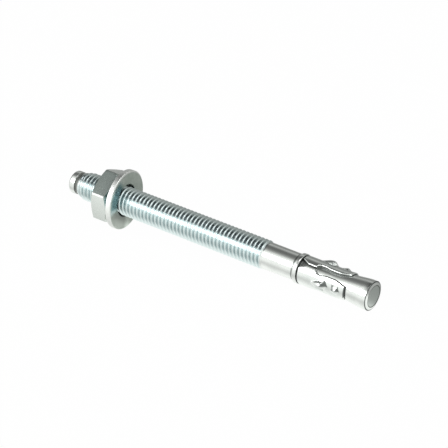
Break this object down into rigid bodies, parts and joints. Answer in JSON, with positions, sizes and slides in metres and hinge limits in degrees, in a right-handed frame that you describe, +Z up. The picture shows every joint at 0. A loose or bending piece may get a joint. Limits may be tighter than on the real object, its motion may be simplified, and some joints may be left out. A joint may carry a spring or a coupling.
{
  "type": "wedge anchor",
  "caption": "Wedge anchor lying on its side: threaded steel stud with hex nut, loose flat washer, and a slotted expansion clip with pressed barbs wrapped round the neck before its cone.",
  "frame": {"origin": "centre of the bounding box on the surface that the anchor lies on", "axes": "+X from the hammered nut end towards the dished cone end, +Z up from the surface; the stud's own axis dips towards +X"},
  "size_m": [0.1202, 0.0206, 0.0206],
  "materials": {
    "zinc_stud": "bright zinc plated",
    "zinc_clip": "bright zinc plated sheet",
    "zinc_washer": "bright zinc plated",
    "zinc_nut": "bright zinc plated"
  },
  "bodies": {
    "stud": {"anchor_stud": "zinc_stud"},
    "carriage": {"washer": "zinc_washer"},
    "nut": {"hex_nut": "zinc_nut"},
    "clip": {"expansion_clip": "zinc_clip"}
  },
  "joints": [
    {"name": "nut_travel", "type": "slide", "parent": "stud", "child": "carriage", "axis": [0.9987, 0, -0.0507], "range_m": [-0.0075, 0.057]},
    {"name": "nut_turn", "type": "hinge", "parent": "carriage", "child": "nut", "pos_m": [-0.04302, 0.0002, 0.01016], "axis": [0.9987, 0, -0.0507], "range_deg": [-1800, 13680]},
    {"name": "clip_turn", "type": "hinge", "parent": "stud", "child": "clip", "pos_m": [0.04327, 0.0002, 0.00578], "axis": [0.9987, 0, -0.0507], "continuous": true}
  ],
  "couplings": [
    {"joint": "nut_travel", "follows": "nut_turn", "m_per_rad": 0.00023873}
  ]
}
